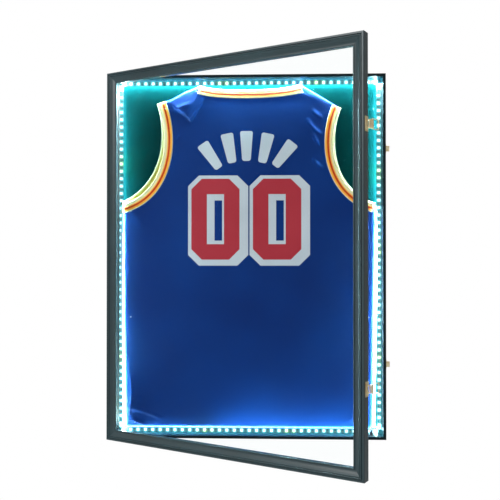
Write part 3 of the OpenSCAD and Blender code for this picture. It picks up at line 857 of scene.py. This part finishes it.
def relief(x, z):
    """How far the near layer's middle stands off the felt, in mm."""
    height = FELT_TO_CLOTH + 0.25 * np.sin(x / 47 + 0.6 * np.sin(z / 70)) * np.sin(z / 83 + 1.0)
    height = height + 0.12 * np.sin(x / 19 + z / 31)
    lean = 0.3 + 0.7 * np.clip((x + 180) / 420, 0, 1)
    height = height - (0.5 + 1.9 * lean) * np.exp(-(z - HEM) / 120)
    height = height - 1.6 * np.exp(-np.clip(top_at(x) - z, 0, None) / 85)
    for one in creases:
        height = height + crease(x, z, *one)
    for one in facets:
        height = height + facet(x, z, *one)
    side = np.where(x < 0, edge_at(LEFT, z), edge_at(RIGHT, z)) - np.abs(x)
    below_arm = np.clip((ARMHOLE_END - z) / 20, 0, 1)
    drop = below_arm * (1 - rolled(side, SIDE_ROLL))
    height = height * (1 - drop) + EDGE_HEIGHT * drop
    off_neck = np.clip((np.abs(x - 2) - NECK_HALF) / 10, 0, 1)
    drop = off_neck * (1 - rolled(top_at(x) - z, SHOULDER_ROLL))
    height = height * (1 - drop) + EDGE_HEIGHT * drop
    return height * (0.4 + 0.6 * rolled(z - HEM, HEM_ROLL))


def cloth_y(x, z, lift=0.0):
    """The row-frame Y, in metres, of a point that stands lift mm in front of the near layer's middle."""
    return felt_y - (relief(x, z) + lift) * MM


print("creases and folds", len(creases) + len(facets))


# %% [markdown]
# ## Jersey cloth
# The cloth is a polyester satin knit in a deep royal blue. Its tiny loops are finer than a millimetre, so
# the pattern is a fine wave for the wales and another for the courses. The dye varies in soft clouds.

# %% Cloth finishes
def knit(name, deep, bright, roughness):
    """Satin knit: painted shade between the loops, over cloudy patches of two tones."""
    made = Finish(name, deep, roughness, Sheen_Weight=0.01, Sheen_Roughness=0.35, Specular_IOR_Level=0.06)
    wales = made.waves(420, "X", distortion=1.5)
    courses = made.waves(520, "Z")
    loops = made.math("MULTIPLY", wales, courses)
    cloud = made.ramp(made.noise(5, 2), (0.3, (0, 0, 0)), (0.72, (1, 1, 1)))
    tone = made.mix(cloud, deep, bright)
    # The colour darkens with the loop pattern: painted shade between the loops
    shadow = tuple(c * 0.4 for c in deep)
    made.colour(made.mix(made.range(loops, 0.0, 0.25), tone, shadow))
    made.rough(made.range(made.noise(30, 2), roughness - 0.06, roughness + 0.08))
    made.bump(loops, 0.12 * MM)
    return made.material


royal_knit = knit("royal_knit", (0.0026, 0.025, 0.155), (0.0034, 0.040, 0.22), 0.42)
lining_knit = knit("lining_knit", (0.02, 0.06, 0.28), (0.03, 0.08, 0.34), 0.5)


def cloth_grid(name, columns, rows, place):
    """A grid of cloth, each point put where place(u, v) says: u across from -1 to 1, v up from 0 to 1."""
    bpy.ops.mesh.primitive_grid_add(x_subdivisions=columns, y_subdivisions=rows, size=2)
    made = added(name)
    points = np.empty(len(made.data.vertices) * 3)
    made.data.vertices.foreach_get("co", points)
    points = points.reshape(-1, 3)
    made.data.vertices.foreach_set("co", place(points[:, 0], (points[:, 1] + 1) / 2).ravel() * MM)
    made.data.update()
    return made


def body_point(u, v, top_drop=0.0):
    """A place inside the jersey's outline, in mm. Columns gather towards the sides, where the cloth rolls."""
    eased = np.sign(u) * (0.35 * np.abs(u) + 0.65 * np.sin(np.abs(u) * np.pi / 2))
    tips = np.where(eased < 0, 207.0, 205.0)
    top = top_at(eased * tips) - top_drop
    z = HEM + v * (top - HEM)
    half = np.where(eased < 0, edge_at(LEFT, z), edge_at(RIGHT, z))
    return eased * half, z


def near_layer(u, v):
    x, z = body_point(u, v)
    return np.stack([x, cloth_y(x, z) / MM, z], axis=1)


jersey_front = cloth_grid("jersey_front", 212, 222, near_layer)
finished(jersey_front, royal_knit, smooth=60)
applied(jersey_front, "SOLIDIFY", thickness=0.45 * MM, offset=0)
print("near layer", len(jersey_front.data.polygons), "faces")


# %% [markdown]
# ### The far layer
# Behind it lies the chest side of the shirt, flat on the felt. It shows only past the left armhole and as a
# thin line along the sides, so a plain grid is enough.

# %% Far layer
def far_layer(u, v):
    x, z = body_point(u, v, 0.5)
    wave = 0.12 * np.sin(x / 31) * np.sin(z / 44)
    raised = 1.7 * np.clip((np.abs(x) - 262) / 12, 0, 1)
    return np.stack([x * 0.998, felt_y / MM - 0.7 - wave - raised, z], axis=1)


jersey_back = cloth_grid("jersey_chest_layer", 60, 70, far_layer)
finished(jersey_back, lining_knit, smooth=60)
applied(jersey_back, "SOLIDIFY", thickness=0.4 * MM, offset=0)
print("far layer", len(jersey_back.data.polygons), "faces")


# %% [markdown]
# ### Rib trims
# Armholes and neck are edged with knitted rib in stripes. A rib is a strip that follows the edge, thicker
# than the cloth and rounded in each stripe. Its UV map runs along the strip in metres and across it from 0
# to 1, so the stripes and the ribs follow the curve.

# %% Rib trims
RIB_PITCH = 1.1 * MM


def rib_finish(name, stripes):
    """Striped rib: colours by the place across, fine ridges along, with painted shade at the ridges."""
    made = Finish(name, stripes[0][1], 0.7, Sheen_Weight=0.02, Specular_IOR_Level=0.08)
    axes = made.axes("UV")
    ripple = made.math("MULTIPLY", made.math("SUBTRACT", made.noise(240, 2), 0.5), 0.05)
    across = made.math("ADD", axes["Y"], ripple)
    tone = made.ramp(across, *stripes)
    ribs = made.math("SINE", made.math("MULTIPLY", axes["X"], 2 * math.pi / RIB_PITCH))
    ribs = made.range(ribs, 0.0, 1.0)
    # The ridges darken the stripes towards brown: painted shade between the ribs
    made.colour(made.mix(made.math("MULTIPLY", ribs, 0.12), tone, (0.2, 0.1, 0.05)))
    made.bump(ribs, 0.2 * MM)
    return made.material


cream = (0.90, 0.80, 0.46)
sand = (1.0, 0.64, 0.22)
orange = (1.0, 0.42, 0.05)
red = (0.62, 0.03, 0.004)
dull_red = (0.50, 0.04, 0.02)
ochre = (0.22, 0.165, 0.012)
grey = (0.58, 0.58, 0.48)
arm_rib = rib_finish("armhole_rib", [
    (0.0, (0.16, 0.13, 0.05)), (0.12, (0.55, 0.46, 0.24)), (0.22, cream), (0.32, cream),
    (0.40, sand), (0.48, orange), (0.54, red), (0.67, red), (0.74, orange), (0.90, orange), (0.97, grey),
])
neck_rib = rib_finish("neck_rib", [
    (0.0, (0.42, 0.36, 0.22)), (0.30, (0.48, 0.40, 0.22)), (0.40, (0.66, 0.36, 0.14)),
    (0.46, dull_red), (0.63, dull_red), (0.70, (0.8, 0.3, 0.04)), (0.86, (0.8, 0.45, 0.14)), (0.97, grey),
])
far_rib = rib_finish("far_rib", [
    (0.0, (0.22, 0.22, 0.15)), (0.12, (0.22, 0.19, 0.06)), (0.28, ochre), (0.6, ochre),
    (0.85, (0.26, 0.22, 0.08)),
])
# The piping is a raised strip along the rolled side edge; its pale colour is a painted highlight of the
# tape's light there
piping_highlight_knit = rib_finish("painted_highlight_piping", [
    (0.0, (0.72, 0.78, 0.80)), (0.8, (0.80, 0.84, 0.86)), (1.0, (0.55, 0.62, 0.72)),
])


def even_points(line, step):
    """Points along a line, the same distance apart."""
    gaps = np.hypot(*np.diff(line, axis=0).T)
    run = np.concatenate([[0], np.cumsum(gaps)])
    at = np.linspace(0, run[-1], max(2, int(run[-1] / step)))
    return np.stack([np.interp(at, run, line[:, 0]), np.interp(at, run, line[:, 1])], axis=1), at


def rib(name, edge, width, inward, level, across=13):
    """A strip of rib from an edge inwards. level(x, z, v) is its Y in metres, width(t) its width in mm."""
    spine, run = even_points(edge, 2.5)
    tangent = np.gradient(spine, axis=0)
    tangent /= np.hypot(*tangent.T)[:, None]
    normal = np.stack([-tangent[:, 1], tangent[:, 0]], axis=1) * inward
    mesh = bpy.data.meshes.new(name)
    made = bpy.data.objects.new(name, mesh)
    bpy.context.collection.objects.link(made)
    shape = bmesh.new()
    uv = shape.loops.layers.uv.new("UVMap")
    rows = []
    for (x, z), (nx, nz), s in zip(spine, normal, run):
        row = []
        for k in range(across):
            v = k / (across - 1)
            reach = v * width(s / run[-1])
            px = x + nx * reach
            pz = z + nz * reach
            corner = shape.verts.new((px * MM, level(px, pz, v), pz * MM))
            row.append((corner, (s * MM, v)))
        rows.append(row)
    for near, far in zip(rows, rows[1:]):
        for a, b, c, d in zip(near, near[1:], far[1:], far):
            face = shape.faces.new([p[0] for p in (a, b, c, d)])
            for loop, point in zip(face.loops, (a, b, c, d)):
                loop[uv].uv = point[1]
    bmesh.ops.recalc_face_normals(shape, faces=shape.faces)
    shape.to_mesh(mesh)
    shape.free()
    if mesh.polygons[0].normal.y > 0:
        mesh.flip_normals()
    return made


def on_cloth(lift, stripes=3):
    """The level of a rib sewn on the near layer, with a rounded rise in each stripe."""
    def level(x, z, v):
        rise = lift + 0.35 * abs(math.sin(math.pi * stripes * min(max(v, 0.0), 1.0)))
        return float(cloth_y(np.array(x), np.array(z), rise))
    return level


def on_felt(lift):
    """The level of a rib that lies over the felt, rounded once."""
    def level(x, z, v):
        return felt_y - (lift + 0.5 * math.sin(math.pi * v)) * MM
    return level


# %% Sew the ribs on
ARM_RIB_WIDTH = 20.5
FAR_RIB_WIDTH = 22.0
NECK_RIB_WIDTH = 19.0
RIB_LIFT = 0.45
FAR_RIB_LIFT = 1.5


def sewn(piece, finish, thickness=0.7):
    """Finishes a rib and gives it its thickness in mm."""
    finished(piece, finish, smooth=60)
    applied(piece, "SOLIDIFY", thickness=thickness * MM, offset=0)


for side, word in ((LEFT, "left"), (RIGHT, "right")):
    trim = rib(f"armhole_rib_{word}", armholes[side], lambda t: ARM_RIB_WIDTH, -side, on_cloth(RIB_LIFT))
    far = rib(f"far_rib_{word}", far_armholes[side], lambda t: FAR_RIB_WIDTH, -side, on_felt(FAR_RIB_LIFT))
    sewn(trim, arm_rib)
    sewn(far, far_rib)
neck_trim = rib("neck_rib", neck, lambda t: NECK_RIB_WIDTH, -1, on_cloth(RIB_LIFT))
sewn(neck_trim, neck_rib)


# %% Pipe the sides
PIPING_TOP = -252


def piping_width(t):
    """The piping grows from 2 mm at the armhole to 6 mm an eighth of the way down."""
    return 2.0 + 4.0 * min(1.0, t * 8)


heights = np.linspace(PIPING_TOP, HEM + 2, 60)
for side, word in ((LEFT, "left"), (RIGHT, "right")):
    edge = np.stack([side * edge_at(side, heights), heights], axis=1)
    # Pale strip along each side: painted highlight of the tape's light on the rolled edge
    piping = rib(f"painted_highlight_piping_{word}", edge, piping_width, side, on_cloth(0.35, 1), 7)
    sewn(piping, piping_highlight_knit, 0.6)


# %% [markdown]
# ### Patches
# The lettering of a real shirt is left out. Its place is held by plain shapes of the same size: a fan of
# tapered rays for the name, and two eight-sided rings for the number, as on a blank sample shirt. Each is a
# twill patch sewn on, the rings in red over a pale backing that shows as an outline and a drop shadow.

# %% Patch shapes
def cut_to_follow(obj, step):
    """Cuts a flat patch by planes along X and Z, so that it can bend with the cloth."""
    low = Vector([min(c[i] for c in obj.bound_box) for i in range(3)])
    high = Vector([max(c[i] for c in obj.bound_box) for i in range(3)])
    pick(obj)
    bpy.ops.object.mode_set(mode="EDIT")
    for axis, normal in ((0, (1, 0, 0)), (2, (0, 0, 1))):
        place = low[axis] + step
        while place < high[axis] - step / 3:
            spot = [0.0, 0.0, 0.0]
            spot[axis] = place
            bpy.ops.mesh.select_all(action="SELECT")
            bpy.ops.mesh.bisect(plane_co=spot, plane_no=normal)
            place += step
    bpy.ops.object.mode_set(mode="OBJECT")


def lay_on_cloth(obj, lift, thickness, material):
    """Bends a flat patch to the relief and gives it its thickness."""
    settle(obj)
    cut_to_follow(obj, 9 * MM)
    for vertex in obj.data.vertices:
        x, z = vertex.co.x / MM, vertex.co.z / MM
        vertex.co.y = float(cloth_y(np.array(x), np.array(z), lift))
    if obj.data.polygons[0].normal.y > 0:
        obj.data.flip_normals()
    finished(obj, material)
    applied(obj, "SOLIDIFY", thickness=thickness * MM, offset=0)
    return obj


def eight_sided(name, x, z, width, height, chamfer, hole):
    """An upright ring with cut corners. hole is (width, height, right, up) of its opening, in mm."""
    bpy.ops.mesh.primitive_plane_add(size=1, location=(x * MM, 0, z * MM), rotation=UPRIGHT)
    made = added(name)
    made.scale = (width * MM, height * MM, 1)
    settle(made)
    edit_all()
    bpy.ops.mesh.inset(thickness=min(width, height) * 0.25 * MM, use_even_offset=True)
    edit = bmesh.from_edit_mesh(made.data)
    inner = [f for f in edit.faces if f.select][0]
    for vertex in inner.verts:
        right = math.copysign(1, vertex.co.x - x * MM)
        up = math.copysign(1, vertex.co.z - z * MM)
        vertex.co.x = (x + hole[2] + right * hole[0] / 2) * MM
        vertex.co.z = (z + hole[3] + up * hole[1] / 2) * MM
    bmesh.update_edit_mesh(made.data)
    bpy.ops.mesh.delete(type="FACE")
    bpy.ops.mesh.select_mode(type="VERT")
    bpy.ops.mesh.select_all(action="DESELECT")
    edit = bmesh.from_edit_mesh(made.data)
    for vertex in edit.verts:
        far_x = abs(vertex.co.x - x * MM) > 0.49 * width * MM
        far_z = abs(vertex.co.z - z * MM) > 0.49 * height * MM
        vertex.select = far_x and far_z
    edit.select_flush(True)
    bmesh.update_edit_mesh(made.data)
    bpy.ops.mesh.bevel(offset=chamfer * MM, offset_type="WIDTH", affect="VERTICES", segments=1)
    bpy.ops.object.mode_set(mode="OBJECT")
    return made


def twill(name, dark, bright):
    """Woven twill: fine lines at an angle, darkened as painted shade, over a slightly uneven colour."""
    made = Finish(name, bright, 0.5, Sheen_Weight=0.02, Specular_IOR_Level=0.12)
    lines = made.waves(330, "X", turn=(0, 35, 0))
    tone = made.mix(made.noise(9, 2), dark, bright)
    # The twill lines darken the colour: painted shade in the weave's grooves
    groove = tuple(c * 0.55 for c in dark)
    made.colour(made.mix(made.math("MULTIPLY", lines, 0.2), tone, groove))
    made.bump(lines, 0.1 * MM)
    return made.material


red_twill = twill("red_twill", (0.40, 0.028, 0.042), (0.50, 0.042, 0.062))
pale_twill = twill("pale_twill", (0.50, 0.56, 0.62), (0.66, 0.72, 0.77))

# %% Lay the rings
# width, height and cut corner of each ring, then the opening, in mm
RING = (108, 181, 33, (38.5, 112, 0, 0))
BACKING = (135, 202, 34, (17, 90, 0.5, 0))
RING_LEVEL = -281
BACKING_SHIFT = (6, -3)
for word, x in (("left", -75.5), ("right", 62.5)):
    right, down = BACKING_SHIFT
    backing = eight_sided(f"ring_backing_{word}", x + right, RING_LEVEL + down, *BACKING)
    lay_on_cloth(backing, 0.42, 0.3, pale_twill)
    ring = eight_sided(f"ring_{word}", x, RING_LEVEL, *RING)
    lay_on_cloth(ring, 0.72, 0.3, red_twill)

# %% Lay the fan
# middle of each ray and its lean to the right, in mm and degrees
RAY_HEIGHT, RAY_FOOT, RAY_HEAD = 67, 19, 29
ray_places = [((-86, -139), -35), ((-44, -122), -11), ((-6, -117), 0), ((36, -122), 12), ((78, -136), 38)]
rays = []
for (x, z), lean in ray_places:
    bpy.ops.mesh.primitive_plane_add(size=1, rotation=UPRIGHT)
    ray = added("ray")
    ray.scale = (RAY_HEAD * MM, RAY_HEIGHT * MM, 1)
    settle(ray)
    for vertex in ray.data.vertices:
        if vertex.co.z < 0:
            vertex.co.x *= RAY_FOOT / RAY_HEAD
    edit_all()
    bpy.ops.mesh.bevel(offset=5 * MM, affect="VERTICES", segments=4)
    bpy.ops.object.mode_set(mode="OBJECT")
    leaning = Matrix.Rotation(math.radians(lean), 4, "Y")
    ray.matrix_world = Matrix.Translation((x * MM, 0, z * MM)) @ leaning
    settle(ray)
    rays.append(ray)
fan = joined("ray_fan", rays)
lay_on_cloth(fan, 0.5, 0.4, pale_twill)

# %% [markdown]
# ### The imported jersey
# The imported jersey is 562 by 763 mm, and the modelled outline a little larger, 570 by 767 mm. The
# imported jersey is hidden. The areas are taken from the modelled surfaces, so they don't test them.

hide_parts("jersey")
